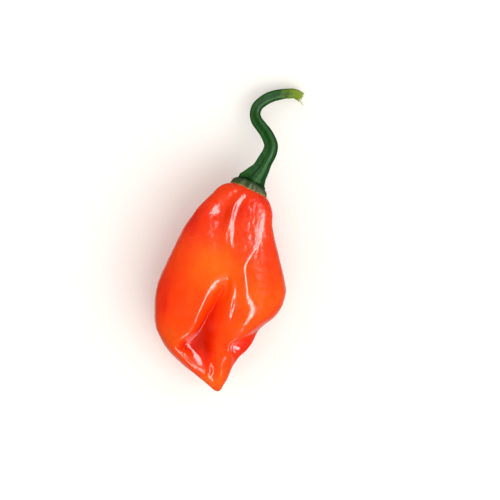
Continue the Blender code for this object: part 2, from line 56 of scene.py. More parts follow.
# The pod's outline, from the tip to the shoulder: y, left edge, right edge, underside, top
POD_OUTLINE = np.array([
    (-23.5, 2.4, 2.4, 8.6, 8.6),
    (-23.0, 1.1, 3.2, 7.2, 10.6),
    (-22.0, -0.3, 3.6, 6.2, 12.8),
    (-20.4, -2.9, 4.2, 5.0, 15.2),
    (-17.8, -7.1, 4.9, 3.4, 18.0),
    (-15.2, -10.3, 6.1, 2.1, 20.1),
    (-13.1, -11.9, 7.75, 1.3, 21.3),
    (-11.3, -13.0, 8.6, 0.6, 22.1),
    (-9.2, -13.6, 9.2, 0.0, 22.7),
    (-7.2, -13.9, 10.7, -0.3, 23.1),
    (-5.6, -14.1, 12.2, -0.5, 23.3),
    (-4.0, -14.15, 13.2, -0.6, 23.4),
    (-2.0, -14.1, 13.95, -0.7, 23.5),
    (0.3, -13.6, 14.2, -0.7, 23.5),
    (4.0, -12.5, 13.15, -0.6, 23.3),
    (8.0, -11.25, 11.5, 0.0, 22.7),
    (12.0, -9.8, 9.85, 1.3, 21.4),
    (15.0, -8.1, 8.95, 2.7, 20.1),
    (18.0, -5.2, 8.6, 4.1, 18.4),
    (19.4, -4.0, 8.25, 5.0, 17.4),
    (20.3, -2.9, 7.8, 5.8, 16.3),
    (20.9, -1.9, 7.25, 6.7, 15.3),
    (21.35, -0.8, 6.3, 7.7, 14.3),
    (21.65, 0.7, 4.8, 8.8, 13.0),
    (21.8, 2.65, 2.65, 10.7, 10.7),
]) * MM
# How square its cross-section is above: y, the power of its rounding, which is 2 for an oval
SQUARENESS = np.array([
    (-23.5 * MM, 2.0),
    (-18.0 * MM, 2.3),
    (-11.0 * MM, 2.8),
    (-5.0 * MM, 3.0),
    (2.0 * MM, 2.8),
    (8.0 * MM, 3.4),
    (12.0 * MM, 4.0),
    (16.0 * MM, 4.4),
    (19.4 * MM, 3.4),
    (21.8 * MM, 2.0),
])
SQUARENESS_BELOW = 2.15
FOLDS_FADE = (-0.5, 0.3)  # the upper side's folds fade in between these heights, as sin(angle)
NECK_START = 13 * MM  # above this the pod leans right and down, towards the stem
NECK_TURN = math.radians(15)
NECK_DIP = math.radians(12)

# The stem's centre line from its foot to the cut end: x, y, z, radius
STEM_LINE = np.array([
    (2.88, 23.12, 10.41, 2.6),
    (2.95, 23.37, 10.36, 3.2),
    (3.07, 23.7, 10.24, 3.1),
    (3.36, 24.35, 10.1, 2.72),
    (3.82, 25.3, 9.9, 2.36),
    (4.48, 26.5, 9.65, 1.97),
    (5.1, 28.2, 9.25, 1.72),
    (5.85, 30.2, 8.75, 1.6),
    (6.05, 31.9, 8.25, 1.5),
    (5.6, 33.2, 7.8, 1.4),
    (4.7, 34.5, 7.2, 1.33),
    (3.4, 35.9, 6.5, 1.28),
    (2.1, 37.3, 5.8, 1.2),
    (1.5, 38.8, 5.1, 1.15),
    (1.8, 40.5, 4.5, 1.15),
    (2.9, 41.9, 3.95, 1.17),
    (4.5, 43.1, 3.55, 1.17),
    (6.3, 43.9, 3.25, 1.15),
    (8.1, 44.4, 3.05, 1.1),
    (9.8, 44.6, 2.9, 1.04),
    (11.2, 44.0, 2.7, 1.08),
]) * MM
STEM_RIBS = 5
STEM_RIB_DEPTH = 0.06  # as a share of the stem's radius
STEM_RIB_TWIST = 2.0  # how far the ribs wind round the stem along its whole length
STEM_END = 0.35  # the latitude taken up by the disc that closes each end

# The calyx is a collar over the pod's shoulder
CALYX_THICKNESS = 0.65 * MM
CALYX_CROWN = 0.75 * MM  # the height of its flat middle, which the stem's foot stands on
CALYX_CROWN_RADIUS = (3.0 * MM, 4.3 * MM)  # the flat middle falls away to the collar between these
CALYX_REACH = 0.21  # how far it drapes down from the shoulder's middle, as a latitude
# Its low teeth: angle round the neck, how much further they reach, half width in degrees
CALYX_TEETH = [
    (172, 0.06, 44),
    (122, 0.08, 34),
    (84, 0.11, 32),
    (50, 0.10, 30),
    (6, 0.03, 16),
    (-50, 0.11, 34),
    (-112, 0.12, 36),
]


def smooth_rows(where, rows):
    """Each column of rows after the first, as a smooth function of the first, without overshoot."""
    knots, values = rows[:, 0], rows[:, 1:]
    step = np.diff(knots)[:, None]
    slope = np.diff(values, axis=0) / step
    turning = slope[:-1] * slope[1:]
    total = np.where(turning > 0, slope[:-1] + slope[1:], 1)
    tangent = np.vstack([slope[:1], np.where(turning > 0, 2 * turning / total, 0), slope[-1:]])
    where = np.clip(where, knots[0], knots[-1])
    i = np.clip(np.searchsorted(knots, where, side="right") - 1, 0, len(knots) - 2)
    h = step[i]
    t = (where - knots[i])[:, None] / h
    return (
        values[i] * (1 + 2 * t) * (1 - t) ** 2
        + tangent[i] * h * t * (1 - t) ** 2
        + values[i + 1] * t * t * (3 - 2 * t)
        + tangent[i + 1] * h * t * t * (t - 1)
    )


def curve_through(rows, where):
    """A smooth curve through the rows, at places counted in rows from 0."""
    padded = np.vstack([2 * rows[0] - rows[1], rows, 2 * rows[-1] - rows[-2]])
    i = np.clip(np.floor(where).astype(int), 0, len(rows) - 2)
    t = (where - i)[:, None]
    p0, p1, p2, p3 = padded[i], padded[i + 1], padded[i + 2], padded[i + 3]
    square = (2 * p0 - 5 * p1 + 4 * p2 - p3) * t**2
    cube = (3 * p1 - p0 - 3 * p2 + p3) * t**3
    return (2 * p1 + (p2 - p0) * t + square + cube) / 2


def smooth_step(low, high, value):
    """0 below low, 1 above high, and an even blend in between."""
    t = np.clip((value - low) / (high - low), 0, 1)
    return t * t * (3 - 2 * t)


def bowl(share):
    """The cross-section of a soft hollow: 1 at its bottom, level with the skin at share 1."""
    return np.clip(1 - share * share, 0, 1) ** 2


def scoop(share):
    """The far side of a valley: a flat bottom that climbs to a rounded brow at share 1."""
    return np.clip(1 - share, 0, 1) ** 2 * (1 + 2 * np.clip(share, 0, 1))


def lip(share):
    """The edge of a lobe: it rolls over from level at share 1 to almost upright at share 0."""
    return np.clip(1 - share, 0, 1) ** 3


# The valley between the left lobe and the middle one, seen from above, lies between three brows.
# The left brow is the crest of the left lobe's rolled rim: x, y, width of the wall below it
VALLEY_LEFT = [
    (0.2, 3.6, 2.2),
    (-1.2, 2.2, 2.4),
    (-2.6, -0.8, 2.7),
    (-3.7, -4.7, 2.5),
    (-4.3, -7.6, 2.0),
    (-4.5, -9.0, 1.7),
    (-5.3, -10.9, 1.5),
    (-7.2, -12.8, 1.5),
    (-9.2, -14.2, 1.6),
    (-11.5, -15.6, 1.6),
]
# The brow round the foot of the hollow under the left lobe's corner
VALLEY_LOWER = [
    (-11.5, -13.8, 2.6),
    (-9.0, -15.0, 3.0),
    (-7.3, -16.3, 3.4),
    (-5.6, -17.6, 3.6),
    (-3.9, -19.2, 3.4),
    (-2.2, -20.6, 2.8),
    (-0.4, -21.6, 2.0),
    (1.4, -22.6, 1.4),
    (3.0, -24.0, 1.2),
]
# The brow of the middle lobe, and the left side of the nose
VALLEY_RIGHT = [
    (1.6, 4.6, 1.4),
    (2.4, 1.6, 2.0),
    (2.6, -2.0, 3.0),
    (2.7, -5.6, 4.6),
    (2.4, -9.0, 5.4),
    (1.7, -12.0, 4.6),
    (1.5, -14.2, 3.0),
    (2.2, -16.6, 2.4),
    (2.9, -18.8, 2.0),
    (2.6, -22.8, 1.4),
]
VALLEY_HEAD = 2.5 * MM  # towards the neck from here the valley's wall is soft
VALLEY_HEAD_BLEND = 2 * MM  # and sharp from this much further down
VALLEY_WALL = 2.0  # the wall under the left brow steepens from the brow down by this power
# How deep the valley is: y, depth
VALLEY_DEPTH = [
    (-22.6, 0.0),
    (-20.6, 0.8),
    (-18.6, 1.7),
    (-16.0, 2.8),
    (-13.5, 3.9),
    (-11.0, 4.3),
    (-8.0, 3.9),
    (-5.0, 3.1),
    (-2.0, 2.2),
    (0.5, 1.2),
    (2.4, 0.5),
    (4.0, 0.0),
]

# The right lobe's crest, from which its flank falls away to the right: y, x, how far it falls, the
# width of the fall, and how far the crest is rounded off
RIGHT_CREST = np.array([
    (-10.4, 5.9, 0.0, 4.0, 0.5),
    (-8.8, 6.7, 0.5, 5.0, 0.6),
    (-6.6, 7.3, 1.0, 6.0, 2.4),
    (-4.2, 7.1, 1.6, 7.0, 3.6),
    (-1.6, 6.2, 2.3, 8.0, 0.9),
    (1.6, 5.3, 2.4, 8.0, 0.3),
    (4.6, 4.6, 2.0, 8.0, 0.3),
    (7.6, 5.6, 1.3, 7.0, 0.1),
    (10.0, 6.7, 0.7, 6.0, 0.1),
    (12.5, 7.2, 0.3, 6.0, 1.6),
    (15.5, 7.2, 0.0, 6.0, 1.6),
]) * MM

# The right lobe's lower edge, which stands over the back of the tip, and then the right side of
# the nose: x, y, how far the skin below it drops towards the pod's middle height (1 is most of
# the way), width of the roll along the edge
RIGHT_EDGE = [
    (15.2, 1.0, 0.0, 2.0),
    (13.9, -2.2, 0.15, 2.2),
    (12.7, -4.7, 0.45, 2.3),
    (11.0, -6.7, 0.8, 2.2),
    (8.4, -9.6, 1.0, 1.9),
    (5.7, -11.6, 1.0, 1.5),
    (4.4, -12.7, 1.0, 1.1),
    (4.6, -14.0, 0.9, 1.0),
    (5.1, -15.5, 0.6, 1.0),
    (5.3, -16.8, 0.25, 1.0),
    (5.1, -18.4, 0.0, 1.0),
]
BACK_DROP = 0.42  # the share of the pod's half height that the back of the tip lies lower
BACK_CREASE = (0.6 * MM, 2.6 * MM)  # depth and width of the crease along the edge's foot

# Folds in the pod's upper side, seen from above. Each row of a line is x, y, depth, and how far
# the fold spreads to the left and to the right of someone walking the line. Ridges have a
# negative depth.
UPPER_FOLDS = [
    # the left lobe's full corner
    [
        (-5.0, -5.0, 0.0, 3.0, 3.0),
        (-6.0, -9.0, -0.5, 3.6, 3.4),
        (-7.6, -12.4, -1.2, 4.0, 3.4),
        (-8.4, -15.0, -1.3, 3.6, 3.2),
        (-6.6, -17.0, -1.0, 3.0, 2.8),
        (-3.9, -19.2, -0.4, 2.2, 2.2),
        (-1.6, -21.2, 0.0, 1.5, 1.5),
    ],
    # the rim along its edge
    [
        (-1.2, 2.4, 0.0, 1.0, 1.0),
        (-2.9, -1.2, -0.2, 1.2, 1.4),
        (-3.9, -4.9, -0.25, 1.2, 1.5),
        (-4.6, -8.6, -0.25, 1.1, 1.3),
        (-5.8, -11.3, -0.25, 1.1, 1.3),
        (-7.9, -13.2, -0.3, 1.1, 1.2),
        (-8.3, -15.0, -0.4, 1.1, 1.2),
        (-6.6, -16.7, -0.4, 1.1, 1.2),
        (-4.6, -18.4, -0.4, 1.1, 1.2),
        (-2.6, -20.2, -0.2, 1.0, 1.1),
        (-1.2, -21.2, 0.0, 0.8, 0.9),
    ],
    # the little ridge that parts the valley's foot from the hollow in the left lobe's corner
    [
        (-1.6, -14.0, 0.0, 0.8, 0.8),
        (-0.6, -15.6, -0.4, 1.0, 1.0),
        (-0.1, -17.2, -0.6, 1.1, 1.1),
        (0.1, -19.0, -0.5, 1.0, 1.0),
        (-0.3, -20.6, 0.0, 0.8, 0.8),
    ],
    # the nook at the head of the valley
    [
        (1.2, 2.6, 0.0, 0.8, 0.7),
        (1.5, 0.8, 0.5, 1.0, 0.9),
        (1.6, -1.2, 0.6, 1.1, 0.9),
        (1.2, -3.4, 0.0, 1.0, 0.9),
    ],
    # the swelling of the right lobe towards its lower edge
    [
        (8.0, 5.0, 0.0, 4.0, 5.0),
        (9.0, 1.0, -0.4, 4.5, 5.5),
        (10.0, -2.5, -0.9, 5.0, 6.0),
        (9.4, -5.6, -1.7, 5.0, 6.0),
        (7.8, -8.4, -2.1, 4.5, 6.0),
        (5.4, -11.3, -1.8, 3.0, 5.0),
        (4.4, -13.2, -1.2, 2.6, 3.5),
        (3.9, -16.0, -0.7, 2.4, 2.6),
        (3.8, -18.5, -0.5, 2.2, 2.2),
        (3.2, -21.4, 0.0, 1.6, 1.6),
    ],
    # its crest
    [
        (3.2, 7.6, 0.0, 2.4, 1.8),
        (4.0, 4.6, -0.3, 2.4, 2.0),
        (4.9, 1.4, -0.4, 2.4, 2.2),
        (5.8, -1.8, -0.4, 2.6, 2.2),
        (6.6, -4.8, -0.3, 3.0, 2.4),
        (6.8, -7.6, 0.0, 3.0, 2.4),
    ],
    # the rim along its lower edge and down the nose
    [
        (12.6, -4.2, 0.0, 0.8, 1.0),
        (10.5, -6.4, -0.22, 0.8, 1.0),
        (8.0, -9.1, -0.3, 0.8, 1.0),
        (5.5, -11.0, -0.3, 0.8, 1.0),
        (3.9, -12.3, -0.3, 0.8, 1.0),
        (3.7, -13.6, -0.3, 0.8, 0.9),
        (4.2, -15.6, -0.25, 0.8, 0.9),
        (4.1, -18.0, -0.2, 0.8, 0.9),
        (3.3, -21.0, 0.0, 0.8, 0.8),
    ],
    # the middle lobe's brow
    [
        (1.4, 3.2, 0.0, 0.8, 0.8),
        (2.2, 0.6, -0.12, 1.0, 1.0),
        (2.5, -2.8, -0.15, 1.2, 1.2),
        (2.4, -6.5, -0.12, 1.4, 1.4),
        (2.0, -9.4, 0.0, 1.4, 1.4),
    ],
    # furrows down the neck
    [
        (1.1, 20.9, 0.2, 0.9, 1.2),
        (-0.9, 18.4, 0.5, 1.4, 2.4),
        (-2.0, 15.8, 1.2, 1.9, 4.0),
        (-2.3, 13.4, 0.45, 1.9, 3.0),
        (-2.4, 11.0, 0.3, 1.8, 2.4),
        (-2.2, 8.0, 0.2, 1.6, 2.0),
        (-1.6, 5.0, 0.0, 1.5, 1.8),
    ],
    [
        (2.6, 20.4, 0.2, 0.9, 0.9),
        (1.2, 17.0, 0.35, 1.2, 1.1),
        (1.0, 13.8, 0.35, 1.2, 1.1),
        (1.3, 10.4, 0.25, 1.2, 1.1),
        (2.4, 7.0, 0.0, 0.9, 1.0),
    ],
    [
        (4.2, 19.8, 0.0, 1.4, 1.2),
        (4.4, 16.4, 0.06, 2.0, 1.8),
        (4.7, 13.4, 0.06, 2.0, 1.8),
        (5.0, 10.2, 0.05, 1.8, 1.8),
        (5.2, 8.0, 0.0, 1.4, 1.6),
    ],
    # the ridge between the first two
    [
        (1.5, 20.8, -0.1, 0.9, 0.8),
        (-0.05, 18.3, -0.2, 1.0, 0.9),
        (-0.5, 16.2, -0.2, 1.1, 1.0),
        (-0.75, 14.0, -0.2, 1.1, 1.0),
        (-0.95, 11.4, -0.2, 1.1, 1.0),
        (-0.4, 8.2, 0.0, 1.0, 0.9),
    ],
    # the crest of the neck's right corner
    [
        (6.7, 19.6, 0.0, 1.2, 1.6),
        (7.8, 17.0, -0.25, 1.2, 2.0),
        (8.2, 14.0, -0.15, 1.3, 2.2),
        (8.9, 11.0, 0.0, 1.3, 2.2),
    ],
]

# Furrows round the sides and the underside: y, the angle round the pod (0 is the right side and
# 90 the top), depth and half width. They leave the flat spot whole.
SIDE_FURROWS = [
    [
        (-4.0, -14, 0.4, 2.4),
        (3.0, -20, 1.1, 3.0),
        (11.0, -27, 0.9, 2.8),
        (19.0, -32, 0.2, 1.6),
    ],
    [
        (-18.0, 205, 0.3, 2.2),
        (-9.0, 210, 1.1, 3.2),
        (3.0, 212, 1.3, 3.4),
        (13.0, 208, 0.9, 2.8),
        (19.5, 204, 0.2, 1.5),
    ],
    [
        (-20.5, 250, 0.2, 1.5),
        (-13.0, 244, 1.0, 2.6),
        (-3.0, 240, 0.5, 2.6),
        (7.0, 240, 0.7, 2.8),
        (13.0, 242, 0.9, 2.6),
        (19.5, 244, 0.2, 1.4),
    ],
    [
        (-21.0, 322, 0.2, 1.4),
        (-15.0, 312, 1.3, 2.6),
        (-9.0, 306, 0.9, 2.6),
        (1.0, 302, 0.4, 2.4),
        (9.0, 300, 0.9, 2.6),
        (19.0, 300, 0.2, 1.4),
    ],
]
FURROW_FADE = (2.5 * MM, 1.5 * MM)  # how gently they start, towards the tip, and end


def nearest_on_line(points, line):
    """How far points lie to the left of a line, the way leftwards, and the line's values there."""
    best = np.full(len(points), np.inf)
    signed = np.zeros(len(points))
    leftward = np.zeros((len(points), 2))
    values = np.zeros((len(points), line.shape[1] - 2))
    for a, b in zip(line[:-1], line[1:]):
        along = b[:2] - a[:2]
        rel = points - a[:2]
        t = np.clip(rel @ along / (along @ along), 0, 1)
        off = rel - t[:, None] * along
        distance = np.hypot(off[:, 0], off[:, 1])
        near = distance < best
        side = np.where(along[0] * rel[near, 1] - along[1] * rel[near, 0] < 0, -1, 1)
        best[near] = distance[near]
        signed[near] = side * distance[near]
        leftward[near] = side[:, None] * off[near] / np.maximum(distance[near, None], 1e-9)
        values[near] = a[2:] + t[near, None] * (b[2:] - a[2:])
    return signed, leftward, values


def smooth_line(line):
    """A line's rows in metres, with smooth points in between."""
    rows = np.array(line) * MM
    return curve_through(rows, np.linspace(0, len(rows) - 1, LINE_STEPS * (len(rows) - 1) + 1))


def valley_drop(points):
    """The depth of the valley between the left lobe and the middle one."""
    left, _, left_wall = nearest_on_line(points, smooth_line(VALLEY_LEFT))
    lower, _, lower_wall = nearest_on_line(points, smooth_line(VALLEY_LOWER))
    right, _, right_wall = nearest_on_line(points, smooth_line(VALLEY_RIGHT))
    depth = smooth_rows(points[:, 1], np.array(VALLEY_DEPTH) * MM)[:, 0]
    left_share = np.clip(left / left_wall[:, 0], 0, 1)
    lower_share = np.clip(lower / lower_wall[:, 0], 0, 1)
    right_share = np.clip(-right / right_wall[:, 0], 0, 1)
    return depth * left_share**VALLEY_WALL * scoop(1 - lower_share) * scoop(1 - right_share)


def flank_drop(points):
    """How far the right lobe's flank falls away from its crest."""
    crest, depth, width, rounding = smooth_rows(points[:, 1], RIGHT_CREST).T
    beyond = points[:, 0] - crest
    return depth * (1 - lip((beyond + np.hypot(beyond, rounding)) / 2 / width))


def right_edge():
    """The right lobe's lower edge in metres, with its drop kept as a share."""
    return smooth_line(RIGHT_EDGE) / (1, 1, MM, 1)


def back_lobe(points):
    """How much of each place belongs to the lower back of the tip, and the crease in it."""
    beyond, _, values = nearest_on_line(points, right_edge())
    share, roll = values.T
    depth, width = BACK_CREASE
    back = share * np.where(beyond > 0, 1, lip(np.abs(beyond) / roll))
    return back, depth * share * bowl(beyond / width)


def inside_box(points, rows, margin):
    """Which points lie in the box round the rows' places, with that margin."""
    low, high = rows[:, :2].min(axis=0) - margin, rows[:, :2].max(axis=0) + margin
    return np.all((points > low) & (points < high), axis=1)


def upper_drop(points):
    """How far the folds lower the pod's upper side at each place seen from above."""
    drop = flank_drop(points)
    valley = inside_box(points, np.array(VALLEY_LEFT + VALLEY_LOWER + VALLEY_RIGHT) * MM, 0)
    drop[valley] = valley_drop(points[valley])
    for line in UPPER_FOLDS:
        rows = smooth_line(line)
        near = inside_box(points, rows, rows[:, 3:].max())
        signed, _, values = nearest_on_line(points[near], rows)
        depth, left, right = values.T
        drop[near] += depth * bowl(signed / np.where(signed > 0, left, right))
    return drop


def side_inset(y, angle, radius):
    """How far the side furrows draw the skin in, at each height and angle round the pod."""
    inset = np.zeros(len(y))
    for line in SIDE_FURROWS:
        rows = np.array(line) * (MM, 1, MM, MM)
        centre, depth, width = smooth_rows(y, rows).T
        turn = (np.degrees(angle) - centre + 180) % 360 - 180
        across = np.radians(np.abs(turn)) * radius
        first, last = rows[0, 0], rows[-1, 0]
        start = smooth_step(first - FURROW_FADE[0], first, y)
        end = smooth_step(last + FURROW_FADE[1], last, y)
        inset += depth * bowl(across / width) * start * end
    return inset


def pod_section(latitude, angle):
    """The pod without its upper folds: x, y, height of its middle, and z above that."""
    low, high = POD_OUTLINE[0, 0], POD_OUTLINE[-1, 0]
    y = low + (high - low) * (1 - np.cos(latitude)) / 2
    rows = POD_OUTLINE.copy()
    rows[:, 0] = np.arccos(np.clip(1 - 2 * (rows[:, 0] - low) / (high - low), -1, 1))
    left, right, under, top = smooth_rows(latitude, rows).T
    cos, sin = np.cos(angle), np.sin(angle)
    above = smooth_rows(y, SQUARENESS)[:, 0] - SQUARENESS_BELOW
    power = SQUARENESS_BELOW + above * smooth_step(*FOLDS_FADE, sin)
    rounding = (np.abs(cos) ** power + np.abs(sin) ** power) ** (-1 / power)
    across, up = (right - left) / 2 * cos * rounding, (top - under) / 2 * sin * rounding
    radius = np.maximum(np.hypot(across, up), LEAST_RADIUS)
    share = 1 - side_inset(y, angle, radius) / radius
    across, up = across * share, up * share
    neck = smooth_step(NECK_START, high, y)
    y = y - neck * (math.tan(NECK_TURN) * across - math.tan(NECK_DIP) * up)
    return (left + right) / 2 + across, y, (top + under) / 2, up


def crowding(points):
    """The way in plan from each point towards the sharp folds near it."""
    brow, across_foot, wall = nearest_on_line(points, smooth_line(VALLEY_LEFT))
    edge, across_edge, share = nearest_on_line(points, right_edge())
    sharp = smooth_step(VALLEY_HEAD, VALLEY_HEAD - VALLEY_HEAD_BLEND, points[:, 1])
    way = np.zeros((len(points), 2))
    for signed, leftward, strength in (
        (brow - wall[:, 0], across_foot, sharp),
        (edge, across_edge, np.minimum(share[:, 0] / CROWD_DROP, 1)),
    ):
        near = np.clip(np.abs(signed) / CROWD_REACH, 0, 1)
        way -= (strength * CROWD_PULL * (1 - near) * signed)[:, None] * leftward
    return way


def crowded(latitude, angle):
    """Latitudes and angles moved so that the mesh is finest along the sharp folds."""
    step = 0.001
    for _ in range(CROWD_ROUNDS):
        x, y, _, _ = pod_section(latitude, angle)
        north = [(b - a) / step for a, b in zip((x, y), pod_section(latitude + step, angle)[:2])]
        east = [(b - a) / step for a, b in zip((x, y), pod_section(latitude, angle + step)[:2])]
        share = smooth_step(*CROWD_FADE, np.sin(angle)) / CROWD_ROUNDS
        way = crowding(np.column_stack([x, y])) * share[:, None]
        area = north[0] * east[1] - north[1] * east[0]
        area = np.where(np.abs(area) < 1e-9, 1e-9, area)
        latitude = latitude + (way[:, 0] * east[1] - way[:, 1] * east[0]) / area
        angle = angle + (north[0] * way[:, 1] - north[1] * way[:, 0]) / area
    return latitude, angle


def pod_skin(latitude, angle):
    """Points of the pod's skin. latitude is 0 at the tip and pi at the shoulder."""
    x, y, height, up = pod_section(latitude, angle)
    z = height + up
    share = smooth_step(*FOLDS_FADE, np.sin(angle))
    upper = share > 0
    plan = np.column_stack([x, y])[upper]
    back, crease = back_lobe(plan)
    folds = upper_drop(plan) * (1 - back) + (BACK_DROP * np.maximum(up[upper], 0) + crease) * back
    z[upper] -= folds * share[upper]
    return np.column_stack([x, y, np.maximum(z, 0)])


def crowded_skin(latitude, angle):
    """The pod's skin, with its mesh drawn in towards the sharp folds."""
    return pod_skin(*crowded(latitude, angle))


def unit(vectors):
    """One vector, or a row each, brought to length 1."""
    return vectors / np.linalg.norm(vectors, axis=-1, keepdims=True)


def outward(latitude, angle):
    """The direction the pod's skin faces."""
    step = 0.01
    low = np.clip(latitude, POLE_GAP, math.pi - POLE_GAP)
    along = pod_skin(low + step, angle) - pod_skin(low - step, angle)
    around = pod_skin(low, angle + step) - pod_skin(low, angle - step)
    return unit(np.cross(along, around))


def calyx_reach(angle):
    """The latitude of the calyx's edge below the shoulder's middle."""
    reach = np.full(len(angle), CALYX_REACH)
    for centre, length, width in CALYX_TEETH:
        turn = (np.degrees(angle) - centre + 180) % 360 - 180
        reach += length * bowl(turn / width)
    return reach


def object_from(bm, name):
    """The finished mesh as a smoothly shaded object."""
    mesh = bpy.data.meshes.new(name)
    bm.to_mesh(mesh)
    bm.free()
    mesh.shade_smooth()
    made = bpy.data.objects.new(name, mesh)
    bpy.context.scene.collection.objects.link(made)
    return made


def sphere_piece(name, segments, rings, shape):
    """A UV sphere whose points are moved by shape(latitude, angle), and those two for each point."""
    bm = bmesh.new()
    bmesh.ops.create_uvsphere(bm, u_segments=segments, v_segments=rings, radius=1)
    co = np.array([v.co for v in bm.verts])
    latitude, angle = np.arccos(np.clip(-co[:, 2], -1, 1)), np.arctan2(co[:, 1], co[:, 0])
    for vert, place in zip(bm.verts, shape(latitude, angle)):
        vert.co = place
    if bm.calc_volume(signed=True) < 0:
        bmesh.ops.reverse_faces(bm, faces=bm.faces)
    return object_from(bm, name), latitude, angle


def stem_skin(latitude, angle):
    """Points of the stem: latitude 0 is the middle of its foot and pi the middle of its cut end."""
    count = len(STEM_LINE) - 1
    step = 0.02
    where = np.clip((latitude - STEM_END) / (math.pi - 2 * STEM_END), 0, 1) * count
    rows = curve_through(STEM_LINE, where)
    before = curve_through(STEM_LINE, np.maximum(where - step, 0))
    after = curve_through(STEM_LINE, np.minimum(where + step, count))
    along = unit((after - before)[:, :3])
    side = unit(np.cross(along, (0, 0, 1)))
    above = np.cross(side, along)
    ribs = 1 + STEM_RIB_DEPTH * np.cos(STEM_RIBS * angle + STEM_RIB_TWIST * where / count)
    disc = np.clip(np.minimum(latitude, math.pi - latitude) / STEM_END, 0, 1)
    radius = (rows[:, 3] * ribs * disc)[:, None]
    return rows[:, :3] + radius * (np.cos(angle)[:, None] * side + np.sin(angle)[:, None] * above)


# Fine relief of the pod's skin, each as the size of the bumps, their height and a seed
SKIN_SWELLS = (3.4 * MM, 0.07 * MM, 11)
SKIN_DIMPLES = (1.2 * MM, 0.014 * MM, 12)
NECK_WRINKLES = (0.85 * MM, 0.05 * MM, 5)
WRINKLE_STRETCH = 3.5  # how much longer than wide a wrinkle is
WRINKLES_START = (1 * MM, 12 * MM)  # they come up between these, towards the neck
NECK_WAXY = (4 * MM, 9 * MM)  # the skin turns duller and pebbled between these, towards the neck
RELIEF_RISE = 0.6 * MM  # the relief fades in over this height above the flat spot

# The collar's lengthwise veins and its edge, placed by shares of the way from its middle to there
CALYX_VEINS = 9
CALYX_VEIN_HEIGHT = 0.07 * MM
CALYX_VEINS_START = (0.35, 0.6)
CALYX_VEINS_END = (0.8, 1.0)
CALYX_RAGS = 23  # the frays round its edge
CALYX_RAGGED = 0.012  # how far its edge is frayed, as a latitude
CALYX_THINS = 0.72  # from here on it thins out onto the pod
CALYX_FILM = 0.05 * MM  # what is left at its edge, and how far it sinks into the pod's skin

# The stem's fine ridges and lumps, with their depths as shares of its radius
STEM_RIDGES = 17
STEM_RIDGE_DEPTH = 0.022
STEM_LUMPS = (2.2 * MM, 0.06, 31)
STEM_LUMP_STRETCH = 2.0
FOOT_SUNK = 0.45 * MM  # how far the foot reaches down into the collar
FOOT_WAVE = 0.14 * MM  # how far its rim waves up and down
TORN_EDGE = (0.5, 0.35 * MM, 3)  # the cut end's ragged rim, its bumps sized on a circle of radius 1
TORN_HOLLOW = 0.5 * MM  # how far the cut end's middle lies sunk

# Where these lie along the stem, as latitudes
RIDGES_START = (STEM_END, STEM_END + 0.1)
FOOT_FACE = (STEM_END - 0.05, STEM_END)
FOOT_RIM = (STEM_END + 0.05, 0.12)  # its middle and how far the waves reach from there
TORN_START = (math.pi - STEM_END - 0.12, math.pi - STEM_END)

# The torn cut end: fibres as turn round the stem, length, bend
FIBRES = [
    (10, 1.9, 0.5),
    (34, 1.2, -0.3),
    (62, 0.8, -0.3),
    (118, 0.7, 0.4),
    (171, 0.6, 0.2),
    (214, 0.9, -0.5),
    (262, 1.2, 0.3),
    (309, 1.5, -0.2),
    (338, 2.2, 0.6),
]
FIBRE_RADIUS = 0.26 * MM
FIBRE_TAPER = 0.85  # the share of the radius that is gone at the tip
FIBRE_FLATNESS = 0.6  # a fibre's width as a share of its thickness outwards
FIBRE_PLACE = 0.78  # where it stands on the cut end, as a share of the stem's radius
FIBRE_SPREAD = 0.6  # and how much further out its tip is
FIBRE_SUNK = 0.5  # how far it is rooted in the stem, in millimetres
FIBRE_RINGS = 9
FIBRE_SIDES = 6

# Where the skin is riper and deeper red, or paler and more orange, and where painted shade makes the
# left flank redder: x, y, reach, how much paler
RIPENESS_AND_SHADE = [
    # painted shade: redder towards the left flank's outline, where it lies in shade
    (-13.0, -3.0, 6.0, -0.30),
    (-9.0, 13.0, 7.0, -0.25),
    (3.0, 20.0, 6.5, -0.18),
    (8.5, 12.0, 5.5, -0.10),
    (-2.0, 4.5, 5.5, 0.40),
    (-6.0, 1.0, 6.0, 0.15),
    (4.0, -1.0, 5.5, 0.10),
    (9.5, -2.5, 5.5, 0.30),
    (-5.5, -8.0, 4.0, 0.10),
    (-9.5, -13.0, 4.0, 0.20),
    (4.0, -10.0, 3.5, 0.15),
    (1.5, -21.0, 3.5, 0.35),
    (-4.5, -16.5, 3.0, 0.10),
]


def relief_at(points, size, height, seed):
    """Smooth random relief up to about that height either way, in bumps of that size."""
    shift = Vector((seed, 2 * seed, -seed))
    return height * np.array([noise.noise(Vector(p) / size + shift) for p in points])


def wrinkle(pod):
    """Adds the skin's swells and dimples and the neck's lengthwise wrinkles to the pod's mesh."""
    skin = points_of(pod)
    facing = np.array([n.vector for n in pod.data.vertex_normals])
    neck = smooth_step(*WRINKLES_START, skin[:, 1])
    relief = relief_at(skin, *SKIN_SWELLS) + relief_at(skin, *SKIN_DIMPLES)
    relief += neck * relief_at(skin / (1, WRINKLE_STRETCH, 1), *NECK_WRINKLES)
    lying = smooth_step(0, RELIEF_RISE, skin[:, 2])
    moved = skin + (relief * lying)[:, None] * facing
    moved[:, 2] = np.maximum(moved[:, 2], 0)
    pod.data.vertices.foreach_set("co", moved.ravel())
    pod.data.update()


